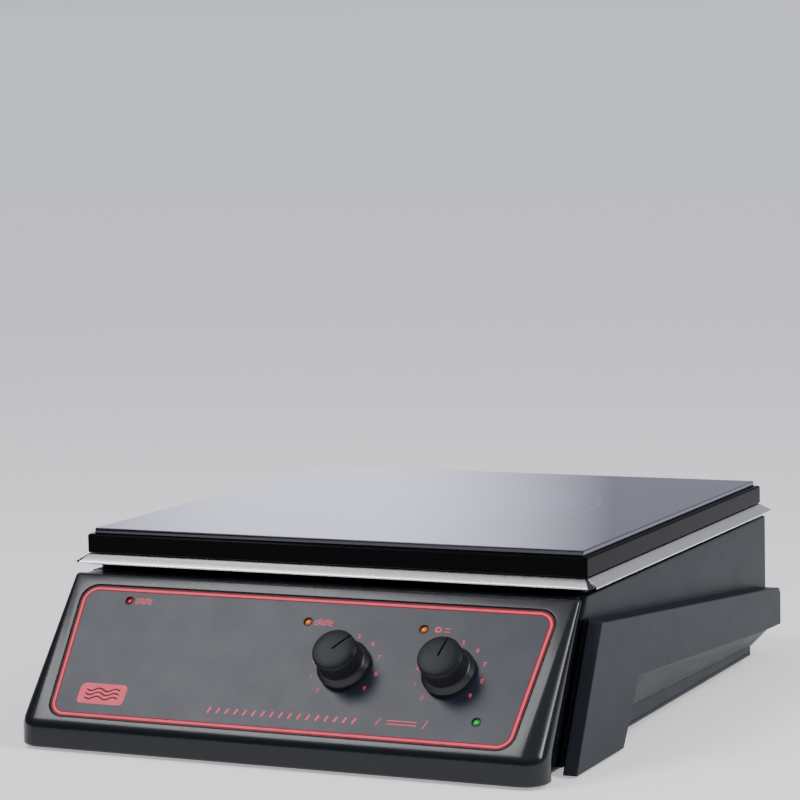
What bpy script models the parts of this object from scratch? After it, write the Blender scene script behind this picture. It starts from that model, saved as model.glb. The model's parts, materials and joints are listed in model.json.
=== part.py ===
"""Hotplate magnetic stirrer: square glass plate over a sloping-front housing with two dials.

All sizes below are in millimetres and are turned into metres when each mesh is made.
X runs to the right, Y to the back, Z up; the floor is Z = 0.
"""
import math

import bmesh
import bpy
from mathutils import Matrix, Vector

MM = 0.001
GAP = 0.3

# Heating plate
PLATE_Y = 29.6
GLASS_HALF = 150.0
GLASS_TOP = 112.0
GLASS_THICK = 4.0
FRAME_HALF = 153.2
FRAME_TOP = 108.8
FRAME_LEDGE = 107.0
FRAME_BOTTOM = 97.8
FLANGE_OUT = 6.2
FLANGE_TIP = 92.9
FLANGE_SHEET = 1.2
NECK_HALF = 149.0

# Infrared heater below the glass
PAN_RADIUS = 104.0
PAN_BOTTOM = 84.0
PAN_TOP = 107.2
PAN_SHEET = 0.8
COIL_Z = 99.5
COIL_START = 20.0
COIL_PITCH = 16.0
COIL_TURNS = 4.25
SHIELD_TOP = 79.2
SHIELD_HALF = 148.9

# Housing
WALL_X = 152.0
WALL = 2.5
HOUSING_TOP = 88.0
HOUSING_REAR = 196.6
HOUSING_LOW = 16.4
OVERHANG_Z = 20.5
OVERHANG_Y = 163.2
STEP_Y = -94.0
LEG_SLOPE = 0.5485
LEG_REF = (-128.6, 74.5)

# Sloping front
SLOPE = math.radians(48.48)
FASCIA_TOP = Vector((0.0, -137.3, 88.1))
FRONT_Y = -202.0
CHIN_TOP = 15.0
CHIN_BOTTOM = 1.5
BEZEL_FACE = 4.0
SKIRT_X = 149.0
RECESS = 2.3
PANEL_SINK = 0.6
PANEL_THICK = 1.4
PANEL_TOP_S = 6.8
PANEL_LOW_S = 91.9
PANEL_TOP_HALF = 144.2
PANEL_LOW_HALF = 139.0
PANEL_CORNER = 10.0

# Side mouldings
CHEEK_IN = 152.4
CHEEK_MID = 155.3
CHEEK_OUT = 163.0

# Base
TRAY_BOTTOM = 4.5
TRAY_FLOOR = 6.5
TRAY_TOP = 16.0
TRAY_WALL = 2.0
TRAY_BACK = 162.8
TRAY_NARROW = 148.8
TRAY_STEP = STEP_Y + 0.5
TRAY_FRONT = -149.0
FOOT_RADIUS = 9.0
FOOT_SPOTS = ((-125.0, -70.0), (125.0, -70.0), (-125.0, 140.0), (125.0, 140.0))
SCREW_SPOTS = ((-138.0, -120.0), (138.0, -120.0), (-138.0, 150.0), (138.0, 150.0))

# Dials: across the fascia, down the slope, pointer angle clockwise from straight up
DIALS = {"heat": (31.4, 48.8, 41.0), "stir": (92.5, 48.8, 12.0)}
KNOB_RADIUS = 15.0
KNOB_BODY = 16.2
KNOB_UNDER = 0.8
CAP_RADIUS = 12.2
NUT_ROOM = 8.2
SPINDLE_TOP = 14.6
POT_RADIUS = 12.0
BUSH_RADIUS = 3.6
SPINDLE = 3.0
BORE = 3.05

# Indicator lamps: across the fascia, down the slope
LAMPS = {"hot": (-112.7, 15.7), "heat": (1.2, 22.3), "stir": (70.3, 22.6), "power": (114.9, 76.2)}
LAMP_RADIUS = 2.2

# Stirring drive
MOTOR_RADIUS = 27.0
MOTOR_LOW = 12.0
MOTOR_TOP = 57.7
DISC_RADIUS = 46.0
MAGNET_X = 32.0
MAGNET_RADIUS = 11.0

# Mains entry on the back wall
MAINS_X = 85.0
MAINS_Z = 55.0
SOCKET_X = -11.5
ROCKER_X = 17.0
ROCKER_Y = 196.76
ROCKER_RADIUS = 8.4
ROCKER_PRESS = math.radians(9.0)
REAR_FACE = 202.0

TONES = {
    "black_gloss": ((0.012, 0.012, 0.014), 0.0, 0.18),
    "case_grey": ((0.045, 0.05, 0.058), 0.0, 0.42),
    "bezel_black": ((0.02, 0.023, 0.026), 0.0, 0.25),
    "panel_grey": ((0.17, 0.18, 0.21), 0.0, 0.35),
    "plate_glass": ((0.02, 0.018, 0.03), 0.0, 0.05),
    "steel": ((0.62, 0.62, 0.6), 1.0, 0.3),
    "zinc": ((0.5, 0.5, 0.5), 1.0, 0.45),
    "knob_black": ((0.02, 0.022, 0.024), 0.0, 0.4),
    "cap_grey": ((0.16, 0.18, 0.19), 0.0, 0.45),
    "rubber": ((0.02, 0.02, 0.02), 0.0, 0.8),
    "fibre": ((0.75, 0.72, 0.66), 0.0, 0.95),
    "coil": ((0.35, 0.12, 0.05), 0.6, 0.5),
    "ferrite": ((0.06, 0.06, 0.065), 0.3, 0.5),
    "brass": ((0.7, 0.5, 0.2), 1.0, 0.35),
    "board": ((0.03, 0.17, 0.07), 0.0, 0.45),
    "lamp_red": ((0.7, 0.02, 0.03), 0.0, 0.2),
    "lamp_amber": ((0.9, 0.3, 0.05), 0.0, 0.2),
    "lamp_green": ((0.05, 0.6, 0.15), 0.0, 0.2),
}


def new_collection(name):
    """Collection linked to the scene."""
    found = bpy.data.collections.new(name)
    bpy.context.scene.collection.children.link(found)
    return found


for leftover in list(bpy.data.objects):
    bpy.data.objects.remove(leftover, do_unlink=True)
PARTS = new_collection("Magnetic stirrer")
TOOLS = new_collection("Cutters")
TOOLS.hide_render = True


def paint(name, tone):
    """Principled material of one part."""
    colour, metallic, roughness = TONES[tone]
    made = bpy.data.materials.new(name + "_" + tone)
    made.use_nodes = True
    made.diffuse_color = (*colour, 1.0)
    shader = made.node_tree.nodes["Principled BSDF"]
    shader.inputs["Base Color"].default_value = (*colour, 1.0)
    shader.inputs["Metallic"].default_value = metallic
    shader.inputs["Roughness"].default_value = roughness
    return made


def solid(name, points, faces, tone, place=(0.0, 0.0, 0.0), tilt=0.0, smooth=False):
    """Object from points in millimetres; tone None makes a cutter or an added lump."""
    mesh = bpy.data.meshes.new(name)
    mesh.from_pydata([Vector(point) * MM for point in points], [], faces)
    shape = bmesh.new()
    shape.from_mesh(mesh)
    bmesh.ops.remove_doubles(shape, verts=shape.verts, dist=1e-7)
    bmesh.ops.recalc_face_normals(shape, faces=shape.faces)
    shape.to_mesh(mesh)
    shape.free()
    made = bpy.data.objects.new(name, mesh)
    made.location = Vector(place) * MM
    made.rotation_euler = (tilt, 0.0, 0.0)
    if tone is None:
        TOOLS.objects.link(made)
        made.hide_render = True
        made.display_type = "WIRE"
        return made
    PARTS.objects.link(made)
    mesh.materials.append(paint(name, tone))
    if smooth:
        mesh.polygons.foreach_set("use_smooth", [True] * len(mesh.polygons))
        mesh.set_sharp_from_angle(angle=math.radians(35.0))
    return made


def loft(name, loops, tone, closed=False, **where):
    """Skin between loops with equal point counts, capped at both ends unless closed."""
    count = len(loops[0])
    points = [point for loop in loops for point in loop]
    faces = []
    spans = len(loops) if closed else len(loops) - 1
    for row in range(spans):
        low = row * count
        high = ((row + 1) % len(loops)) * count
        for step in range(count):
            after = (step + 1) % count
            faces.append((low + step, low + after, high + after, high + step))
    if not closed:
        faces.append(tuple(range(count)))
        faces.append(tuple(range((len(loops) - 1) * count, len(loops) * count)))
    return solid(name, points, faces, tone, **where)


def prism(name, outline, axis, low, high, tone, **where):
    """Outline pushed along an axis. Outline pairs are (y, z), (x, z) or (x, y)."""
    def lift(pair, level):
        return {"X": (level, *pair), "Y": (pair[0], level, pair[1]), "Z": (*pair, level)}[axis]
    loops = [[lift(pair, level) for pair in outline] for level in (low, high)]
    return loft(name, loops, tone, **where)


def box(name, low, high, tone, **where):
    """Box between two opposite corners."""
    outline = ((low[0], low[1]), (high[0], low[1]), (high[0], high[1]), (low[0], high[1]))
    return prism(name, outline, "Z", low[2], high[2], tone, **where)


def boxes(name, corners, tone, **where):
    """Several separate boxes in one mesh, used to cut a row of slots."""
    points = []
    faces = []
    for low, high in corners:
        first = len(points)
        for z in (low[2], high[2]):
            points += [(low[0], low[1], z), (high[0], low[1], z)]
            points += [(high[0], high[1], z), (low[0], high[1], z)]
        for quad in ((0, 3, 2, 1), (4, 5, 6, 7), (0, 1, 5, 4), (1, 2, 6, 5), (2, 3, 7, 6), (3, 0, 4, 7)):
            faces.append(tuple(first + corner for corner in quad))
    return solid(name, points, faces, tone, **where)


def turned(name, profile, tone, segments=32, **where):
    """Profile of (radius, height) pairs turned about the local Z axis."""
    points = []
    rings = []
    for radius, height in profile:
        if radius == 0.0:
            rings.append([len(points)])
            points.append((0.0, 0.0, height))
            continue
        rings.append([len(points) + step for step in range(segments)])
        for step in range(segments):
            angle = math.tau * step / segments
            points.append((radius * math.cos(angle), radius * math.sin(angle), height))
    faces = []
    pairs = list(zip(rings, rings[1:]))
    if len(rings[0]) > 1 and len(rings[-1]) > 1:
        pairs.append((rings[-1], rings[0]))
    for one, two in pairs:
        for step in range(segments):
            after = (step + 1) % segments
            corners = [one[step % len(one)], one[after % len(one)]]
            corners += [two[after % len(two)], two[step % len(two)]]
            unique = list(dict.fromkeys(corners))
            if len(unique) > 2:
                faces.append(tuple(unique))
    where.setdefault("smooth", True)
    return solid(name, points, faces, tone, **where)


def rounded(half_x, half_y, radius, steps=3):
    """Rectangle outline with round corners, about the origin."""
    outline = []
    for quarter, (sign_x, sign_y) in enumerate(((1, 1), (-1, 1), (-1, -1), (1, -1))):
        for step in range(steps + 1):
            angle = math.radians(90.0) * (quarter + step / steps)
            outline.append((sign_x * (half_x - radius) + radius * math.cos(angle),
                            sign_y * (half_y - radius) + radius * math.sin(angle)))
    return outline


def square_ring(name, section, radius, tone):
    """Ring of square plan round the plate; section pairs are (half width, height)."""
    loops = []
    for half, height in section:
        loops.append([(x, y + PLATE_Y, height) for x, y in rounded(half, half, radius)])
    return loft(name, loops, tone, closed=True)


def soften(target, width, segments=2, angle=35.0):
    """Rounded edges."""
    edge = target.modifiers.new("Edges", "BEVEL")
    edge.width = width * MM
    edge.segments = segments
    edge.limit_method = "ANGLE"
    edge.angle_limit = math.radians(angle)
    return target


def combine(target, other, operation="DIFFERENCE"):
    """Exact Boolean with a shape from the cutters collection."""
    step = target.modifiers.new(other.name, "BOOLEAN")
    step.operation = operation
    step.solver = "EXACT"
    step.object = other
    return target


def rod(name, centre, radius, low, high, tone=None, segments=20, **where):
    """Upright cylinder."""
    place = Vector((centre[0], centre[1], 0.0))
    return turned(name, ((0.0, low), (radius, low), (radius, high), (0.0, high)), tone,
                  segments=segments, place=place, **where)


def on_fascia(across, down, out=0.0):
    """World place of a point given across the fascia, down the slope and out of it."""
    local = Vector((across, -down, out))
    return FASCIA_TOP + Matrix.Rotation(SLOPE, 3, "X") @ local


# ---------------------------------------------------------------- plate
def build_plate():
    """Glass, its seal, the frame, the drip skirt and the support below."""
    low = (-GLASS_HALF, PLATE_Y - GLASS_HALF, GLASS_TOP - GLASS_THICK)
    high = (GLASS_HALF, PLATE_Y + GLASS_HALF, GLASS_TOP)
    soften(box("glass_plate", low, high, "plate_glass"), 0.8)

    seal_low = FRAME_LEDGE + GAP
    seal_high = GLASS_TOP - GLASS_THICK - GAP
    seal = ((144.0, seal_low), (149.4, seal_low), (149.4, seal_high), (144.0, seal_high))
    square_ring("glass_seal", seal, 1.0, "rubber")

    frame = ((143.5, FRAME_BOTTOM), (FRAME_HALF - 0.6, FRAME_BOTTOM), (FRAME_HALF, FRAME_BOTTOM + 0.6),
             (FRAME_HALF, FRAME_TOP - 0.8), (FRAME_HALF - 0.8, FRAME_TOP), (150.4, FRAME_TOP),
             (150.4, FRAME_LEDGE), (143.5, FRAME_LEDGE))
    square_ring("plate_frame", frame, 1.2, "black_gloss")

    top = FRAME_BOTTOM - GAP
    inner = FRAME_HALF - 0.8
    ring = ((140.0, top - FLANGE_SHEET), (inner, top - FLANGE_SHEET), (inner, top), (140.0, top))
    skirt = square_ring("drip_flange", ring, 1.2, "steel")
    tip = FRAME_HALF + FLANGE_OUT
    for index in range(4):
        turn = Matrix.Rotation(math.radians(90.0) * index, 3, "Z")
        wide = FRAME_HALF - 1.2
        ends = []
        for side in (-1.0, 1.0):
            section = [Vector((side * wide, -inner + 2.0, top)), Vector((side * wide, -FRAME_HALF, top)),
                       Vector((side * (wide + 3.6), -tip, FLANGE_TIP + 0.4)),
                       Vector((side * (wide + 3.6), -tip + 0.6, FLANGE_TIP - 0.5)),
                       Vector((side * wide, -FRAME_HALF + 0.2, top - FLANGE_SHEET)),
                       Vector((side * wide, -inner + 2.0, top - FLANGE_SHEET))]
            ends.append([turn @ corner + Vector((0.0, PLATE_Y, 0.0)) for corner in section])
        combine(skirt, loft("flange_band_%d" % index, ends, None), "UNION")

    low = HOUSING_TOP + GAP
    high = top - FLANGE_SHEET - GAP
    neck = ((143.0, low), (NECK_HALF, low), (NECK_HALF, high), (143.0, high))
    square_ring("neck_ring", neck, 6.0, "black_gloss")


# ---------------------------------------------------------------- heater
def build_heater():
    """Pan, insulation dish, spiral element, over-heat rod, springs and heat shield."""
    centre = (0.0, PLATE_Y, 0.0)
    inner = PAN_RADIUS - PAN_SHEET
    pan = turned("heater_pan", ((0.0, PAN_BOTTOM), (inner, PAN_BOTTOM), (PAN_RADIUS, PAN_BOTTOM + 0.8),
                                (PAN_RADIUS, PAN_TOP), (inner, PAN_TOP), (inner, PAN_BOTTOM + PAN_SHEET),
                                (0.0, PAN_BOTTOM + PAN_SHEET)), "steel", segments=48, place=centre)
    floor = PAN_BOTTOM + PAN_SHEET + GAP
    lining = turned("heater_insulation", ((0.0, floor), (inner - GAP, floor), (inner - GAP, PAN_TOP - 0.2),
                                          (94.0, PAN_TOP - 0.2), (92.0, 96.0), (0.0, 96.0)),
                    "fibre", segments=48, place=centre)
    rod_z = 104.2
    passage = prism("rod_passage", [(y + PLATE_Y, z + rod_z) for y, z in rounded(2.2, 2.2, 1.0, 2)],
                    "X", 85.0, 112.0, None)
    combine(pan, passage)
    combine(lining, passage)

    steps = int(COIL_TURNS * 26)
    loops = []
    for step in range(steps + 1):
        angle = math.tau * COIL_TURNS * step / steps
        radius = COIL_START + COIL_PITCH * angle / math.tau
        loop = []
        for out, up in ((-0.8, -2.2), (0.8, -2.2), (0.8, 2.2), (-0.8, 2.2)):
            reach = radius + out
            loop.append((reach * math.cos(angle), reach * math.sin(angle), COIL_Z + up))
        loops.append(loop)
    loft("heater_coil", loops, "coil", place=centre)

    head = box("limiter_rod", (106.0, PLATE_Y - 11.0, 96.5), (131.0, PLATE_Y + 11.0, 107.2), "fibre")
    stem = prism("limiter_stem", [(y + PLATE_Y, z + rod_z) for y, z in rounded(1.5, 1.5, 1.0, 2)],
                 "X", -80.0, 110.0, None)
    combine(head, stem, "UNION")

    low = SHIELD_TOP + GAP
    high = PAN_BOTTOM - GAP
    leaf = ((0.0, low), (9.0, low), (13.0, high - 0.8), (22.0, high - 0.8), (22.0, high), (12.4, high),
            (8.4, low + 0.8), (0.0, low + 0.8))
    for index in range(3):
        angle = math.tau * (index / 3 + 0.25)
        spring = prism("heater_spring_%d" % (index + 1), [(60.0 + x, z) for x, z in leaf], "Y", -7.0, 7.0,
                       "steel", place=centre)
        spring.rotation_euler = (0.0, 0.0, angle)

    under = SHIELD_TOP - FLANGE_SHEET
    edge = SHIELD_HALF - FLANGE_SHEET
    hat = ((-SHIELD_HALF, 62.0), (-edge, 62.0), (-edge, under), (edge, under), (edge, 62.0),
           (SHIELD_HALF, 62.0), (SHIELD_HALF, SHIELD_TOP), (-SHIELD_HALF, SHIELD_TOP))
    prism("heat_shield", hat, "Y", -88.0, 150.0, "zinc")


# ---------------------------------------------------------------- stirring drive
def build_drive():
    """Motor on its bracket, spindle, carrier disc and two magnets."""
    centre = (0.0, PLATE_Y, 0.0)
    turned("motor_can", ((0.0, MOTOR_LOW), (MOTOR_RADIUS - 1.5, MOTOR_LOW), (MOTOR_RADIUS, MOTOR_LOW + 1.5),
                         (MOTOR_RADIUS, MOTOR_TOP - 1.0), (MOTOR_RADIUS - 1.0, MOTOR_TOP), (7.0, MOTOR_TOP),
                         (7.0, 61.0), (BORE, 61.0), (BORE, 40.0), (0.0, 40.0)), "zinc", place=centre)
    turned("motor_shaft", ((0.0, 40.6), (SPINDLE, 40.6), (SPINDLE, 66.0), (0.0, 66.0)), "steel", place=centre)
    turned("magnet_carrier", ((0.0, 68.0), (DISC_RADIUS, 68.0), (DISC_RADIUS, 64.0), (9.0, 64.0), (9.0, 61.6),
                              (SPINDLE + GAP, 61.6), (SPINDLE + GAP, 66.3), (0.0, 66.3)), "zinc",
           segments=40, place=centre)
    for side, tag in ((-1.0, "left"), (1.0, "right")):
        rod("magnet_" + tag, (side * MAGNET_X, PLATE_Y), MAGNET_RADIUS, 68.0 + GAP, 76.0, "ferrite", 28)
    low = TRAY_FLOOR + GAP
    under = MOTOR_TOP + GAP
    profile = []
    for side in (-1.0, 1.0):
        half = [(52.0, under + 2.0), (52.0, low + 2.0), (64.0, low + 2.0), (64.0, low), (50.0, low),
                (50.0, under)]
        profile += [(side * x, z) for x, z in (half[::-1] if side < 0 else half)]
    bracket = prism("motor_bracket", profile, "Y", -10.0, 70.0, "zinc")
    combine(bracket, rod("bracket_hole", (0.0, PLATE_Y), 8.0, 50.0, 70.0))


# ---------------------------------------------------------------- housing
def leg_front(height):
    """Y of the sloping leg front at a height."""
    return LEG_REF[0] - LEG_SLOPE * (LEG_REF[1] - height)


def build_housing():
    """Open-bottomed cover with the plate opening, air slots and the mains cut-out."""
    outline = ((leg_front(HOUSING_TOP), HOUSING_TOP), (HOUSING_REAR, HOUSING_TOP), (HOUSING_REAR, OVERHANG_Z),
               (OVERHANG_Y, OVERHANG_Z), (OVERHANG_Y, HOUSING_LOW), (STEP_Y, HOUSING_LOW), (STEP_Y, 3.0),
               (leg_front(3.0) + 8.0, 3.0), (leg_front(75.5) + 8.0, 75.5), (leg_front(75.5), 75.5))
    shell = soften(prism("housing", outline, "X", -WALL_X, WALL_X, "case_grey"), 1.2)
    top = HOUSING_TOP - 2.0
    rear = HOUSING_REAR - WALL
    hollow = ((-200.0, top), (rear, top), (rear, OVERHANG_Z + 2.0), (OVERHANG_Y - WALL, OVERHANG_Z + 2.0),
              (OVERHANG_Y - WALL, -5.0), (-200.0, -5.0))
    inside = WALL_X - WALL
    combine(shell, prism("housing_hollow", hollow, "X", -inside, inside, None))
    combine(shell, rod("plate_opening", (0.0, PLATE_Y), PAN_RADIUS + 3.5, 80.0, 95.0, segments=48))
    slots = []
    for index in range(8):
        x = -104.0 + 10.0 * index
        slots.append(((x, 190.0, 38.0), (x + 4.0, 200.0, 70.0)))
    combine(shell, boxes("air_slots", slots, None))
    cut = [(x + MAINS_X, z + MAINS_Z) for x, z in rounded(28.2, 14.2, 1.0, 1)]
    combine(shell, prism("mains_cutout", cut, "Y", 190.0, 200.0, None))


def build_cheek(tag, side):
    """Side moulding with its leg; the lower edge tucks in under it."""
    outer = ((-128.2, 75.3), (180.4, 44.7), (188.5, 43.6), (191.7, 40.0), (191.7, 20.1), (163.2, 21.2),
             (163.2, 21.2), (-72.1, 36.8), (-95.2, 4.6), (-97.8, 1.5), (leg_front(1.5), 1.5))
    inner = ((-120.6, 75.3), (180.4, 44.7), (188.5, 43.6), (191.7, 40.0), (191.7, 20.1), (163.2, 20.1),
             (163.2, 10.3), (-57.3, 15.4), (-93.2, 4.6), (-97.8, 1.5), (leg_front(1.5) + 8.0, 1.5))
    middle = [Vector(pair) for pair in outer]
    middle[5] = Vector((163.2, 20.6))
    middle[6] = Vector((163.2, 13.3))
    middle[7] = Vector((-61.3, 21.3))
    loops = []
    for across, outline in ((CHEEK_IN, inner), (CHEEK_MID, middle), (CHEEK_OUT, outer)):
        loops.append([(side * across, *pair) for pair in outline])
    count = len(outer)
    points = [point for loop in loops for point in loop]
    faces = []
    for row in range(2):
        for step in range(count):
            after = (step + 1) % count
            low = row * count
            quad = (low + step, low + after, low + count + after, low + count + step)
            faces.append(quad[:3])
            faces.append((quad[0], quad[2], quad[3]))
    faces.append(tuple(range(count)))
    faces.append(tuple(2 * count + step for step in range(count) if step != 6))
    return solid("side_cheek_" + tag, points, faces, "case_grey")


# ---------------------------------------------------------------- front
def fascia_y(height):
    """Y of the front surface at a height, with the soft edge above the chin."""
    if height <= CHIN_TOP - 2.4:
        return FRONT_Y
    if abs(height - CHIN_TOP) < 0.1:
        return FRONT_Y + 0.8
    return FASCIA_TOP.y - (FASCIA_TOP.z - height) / math.tan(SLOPE)


def bezel_slice(height, inset):
    """Level outline of the front moulding: round front corners, narrower skirt behind."""
    drop = (FASCIA_TOP.z - max(height, CHIN_TOP)) / (FASCIA_TOP.z - CHIN_TOP)
    half = 153.8 + 2.4 * drop - inset
    radius = 3.2 + 8.8 * drop
    front = fascia_y(height) + inset
    shell_back = front + radius + 0.5 + 2.5 * drop
    skirt_back = max(leg_front(height) + 11.0, TRAY_FRONT - GAP)
    outline = []
    for side, start in ((-1.0, 180.0), (1.0, 270.0)):
        for step in range(6):
            angle = math.radians(start + 18.0 * step)
            outline.append((side * (half - radius) + radius * math.cos(angle),
                            front + radius + radius * math.sin(angle), height))
    outline.append((half, shell_back, height))
    outline.append((SKIRT_X - inset, shell_back, height))
    outline.append((SKIRT_X - inset, skirt_back, height))
    outline.append((-SKIRT_X + inset, skirt_back, height))
    outline.append((-SKIRT_X + inset, shell_back, height))
    outline.append((-half, shell_back, height))
    return outline


def panel_outline(grow):
    """Round-cornered outline of the control panel, a little narrower at its foot."""
    wide, top = PANEL_TOP_HALF + grow, -PANEL_TOP_S + grow
    narrow, foot = PANEL_LOW_HALF + grow, -PANEL_LOW_S - grow
    corners = ((wide, top, 0.0), (-wide, top, 90.0), (-narrow, foot, 180.0), (narrow, foot, 270.0))
    outline = []
    for x, y, start in corners:
        centre_x = x - math.copysign(PANEL_CORNER, x)
        centre_y = y - PANEL_CORNER if start < 100.0 else y + PANEL_CORNER
        for step in range(6):
            angle = math.radians(start + 18.0 * step)
            outline.append((centre_x + PANEL_CORNER * math.cos(angle),
                            centre_y + PANEL_CORNER * math.sin(angle)))
    return outline


def fascia_hole(name, across, down, radius, segments):
    """Round cutter square to the fascia."""
    return turned(name, ((0.0, -8.0), (radius, -8.0), (radius, 3.0), (0.0, 3.0)), None, segments=segments,
                  place=on_fascia(across, down), tilt=SLOPE)


def build_front():
    """Sloping front moulding and the control panel let into it."""
    levels = ((CHIN_BOTTOM, 1.0), (CHIN_BOTTOM + 1.0, 0.0), (CHIN_TOP - 2.4, 0.0), (CHIN_TOP, 0.0),
              (CHIN_TOP + 2.4, 0.0), (FASCIA_TOP.z - 0.8, 0.0), (FASCIA_TOP.z, 0.8))
    bezel = loft("front_bezel", [bezel_slice(*level) for level in levels], "bezel_black", smooth=True)
    hollow = ((-198.0, 4.5), (-198.0, 13.5), (-136.0, 83.5), (-100.0, 83.5), (-100.0, 4.5))
    combine(bezel, prism("bezel_hollow", hollow, "X", -146.0, 146.0, None))
    tuck = leg_front(HOUSING_TOP - 2.0) - GAP
    combine(bezel, box("skirt_tuck", (-160.0, tuck, HOUSING_TOP - 2.0 - GAP), (160.0, -100.0, 95.0), None))
    recess = prism("panel_recess", panel_outline(GAP), "Z", -RECESS, 5.0, None,
                   place=FASCIA_TOP, tilt=SLOPE)
    combine(bezel, recess)
    panel = prism("control_panel", panel_outline(0.0), "Z", -PANEL_SINK - PANEL_THICK, -PANEL_SINK,
                  "panel_grey", place=FASCIA_TOP, tilt=SLOPE)
    for tag, (across, down, _) in DIALS.items():
        hole = fascia_hole(tag + "_bush_hole", across, down, BUSH_RADIUS + GAP, 24)
        combine(bezel, hole)
        combine(panel, hole)
    for tag, (across, down) in LAMPS.items():
        hole = fascia_hole(tag + "_lamp_hole", across, down, LAMP_RADIUS + GAP, 16)
        combine(bezel, hole)
        combine(panel, hole)


# ---------------------------------------------------------------- dials and lamps
def build_dial(tag, across, down, pointer):
    """Knob, its cap with a pointer groove, spindle, potentiometer and nut."""
    where = {"place": on_fascia(across, down), "tilt": SLOPE}
    bore_top = SPINDLE_TOP + GAP
    knob = ((SPINDLE + GAP, 4.0), (NUT_ROOM, 4.0), (NUT_ROOM, KNOB_UNDER), (KNOB_RADIUS - 0.7, KNOB_UNDER),
            (KNOB_RADIUS, 1.5), (KNOB_RADIUS, 2.9), (13.1, 5.7), (12.6, 6.2), (CAP_RADIUS, KNOB_BODY),
            (0.0, KNOB_BODY), (0.0, bore_top), (SPINDLE + GAP, bore_top))
    turned(tag + "_knob", knob, "knob_black", segments=36, **where)
    low = KNOB_BODY + GAP
    dome = ((0.0, low), (CAP_RADIUS - 0.6, low), (CAP_RADIUS, low + 0.5), (CAP_RADIUS, low + 0.9),
            (CAP_RADIUS - 0.8, low + 1.9), (8.2, low + 2.3), (0.0, low + 2.5))
    cap = turned(tag + "_knob_cap", dome, "cap_grey", segments=36, **where)
    turn = Matrix.Rotation(-math.radians(pointer), 3, "Z")
    ends = []
    for x in (-0.5, 0.5):
        section = ((-0.6, low + 1.6), (20.0, low + 0.9), (20.0, low + 5.0), (-0.6, low + 5.0))
        ends.append([turn @ Vector((x, y, z)) for y, z in section])
    combine(cap, loft(tag + "_pointer_groove", ends, None, **where))
    spindle = ((0.0, -9.6), (SPINDLE, -9.6), (SPINDLE, SPINDLE_TOP), (0.0, SPINDLE_TOP))
    turned(tag + "_shaft", spindle, "brass", segments=24, **where)
    body_top = -BEZEL_FACE - GAP
    turned(tag + "_pot", ((0.0, -14.0), (POT_RADIUS, -14.0), (POT_RADIUS, body_top), (BUSH_RADIUS, body_top),
                          (BUSH_RADIUS, 2.4), (BORE, 2.4), (BORE, -10.0), (0.0, -10.0)), "zinc",
           segments=24, **where)
    nut = turned(tag + "_nut", ((0.0, -0.3), (6.4, -0.3), (6.4, 1.8), (0.0, 1.8)), "zinc", segments=6,
                 smooth=False, **where)
    loose = BUSH_RADIUS + GAP
    nut_hole = ((0.0, -2.0), (loose, -2.0), (loose, 4.0), (0.0, 4.0))
    combine(nut, turned(tag + "_nut_hole", nut_hole, None, segments=24, **where))


def build_lamps():
    """Four round indicator lenses, just below the panel's face."""
    tones = {"hot": "lamp_red", "heat": "lamp_amber", "stir": "lamp_amber", "power": "lamp_green"}
    for tag, (across, down) in LAMPS.items():
        dome = ((0.0, -5.0), (LAMP_RADIUS, -5.0), (LAMP_RADIUS, -1.6), (1.9, -1.1), (1.1, -0.8), (0.0, -0.7))
        turned(tag + "_lamp", dome, tones[tag], segments=16, place=on_fascia(across, down), tilt=SLOPE)


# ---------------------------------------------------------------- base
def build_base():
    """Flat tray floor, the walls that stand on it, rubber feet and the tray's screws."""
    plan = ((WALL_X, TRAY_BACK), (WALL_X, TRAY_STEP), (TRAY_NARROW, TRAY_STEP), (TRAY_NARROW, TRAY_FRONT),
            (-TRAY_NARROW, TRAY_FRONT), (-TRAY_NARROW, TRAY_STEP), (-WALL_X, TRAY_STEP), (-WALL_X, TRAY_BACK))
    tray = prism("base_tray", plan, "Z", TRAY_BOTTOM, TRAY_FLOOR, "case_grey")
    low = TRAY_FLOOR + GAP
    inside, back = WALL_X - TRAY_WALL, TRAY_BACK - TRAY_WALL
    box("tray_wall_right", (inside, TRAY_STEP, low), (WALL_X, TRAY_BACK, TRAY_TOP), "case_grey")
    throat, front = TRAY_NARROW - TRAY_WALL, TRAY_FRONT + TRAY_WALL
    shoulder, end = TRAY_STEP + TRAY_WALL, inside - GAP
    rim = ((end, TRAY_BACK), (-WALL_X, TRAY_BACK), (-WALL_X, TRAY_STEP), (-TRAY_NARROW, TRAY_STEP),
           (-TRAY_NARROW, TRAY_FRONT), (TRAY_NARROW, TRAY_FRONT), (TRAY_NARROW, TRAY_STEP),
           (throat, TRAY_STEP), (throat, front), (-throat, front), (-throat, shoulder),
           (-inside, shoulder), (-inside, back), (end, back))
    prism("tray_rim", rim, "Z", low, TRAY_TOP, "case_grey")
    head = TRAY_BOTTOM - GAP
    screw = ((0.0, head - 1.6), (2.6, head - 1.6), (3.6, head - 0.7), (3.6, head), (1.9, head),
             (1.9, 12.0), (0.0, 12.0))
    for index, spot in enumerate(SCREW_SPOTS):
        combine(tray, rod("screw_hole_%d" % index, spot, 2.2, 0.0, 10.0, segments=16))
        turned("base_screw_%d" % (index + 1), screw, "steel", segments=16, place=(*spot, 0.0))
    for index, spot in enumerate(FOOT_SPOTS):
        top = TRAY_BOTTOM - GAP
        foot = ((0.0, 0.0), (FOOT_RADIUS - 0.8, 0.0), (FOOT_RADIUS, 0.8), (FOOT_RADIUS + 0.6, top),
                (0.0, top))
        turned("foot_%d" % (index + 1), foot, "rubber", segments=28, place=(*spot, 0.0))


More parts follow.
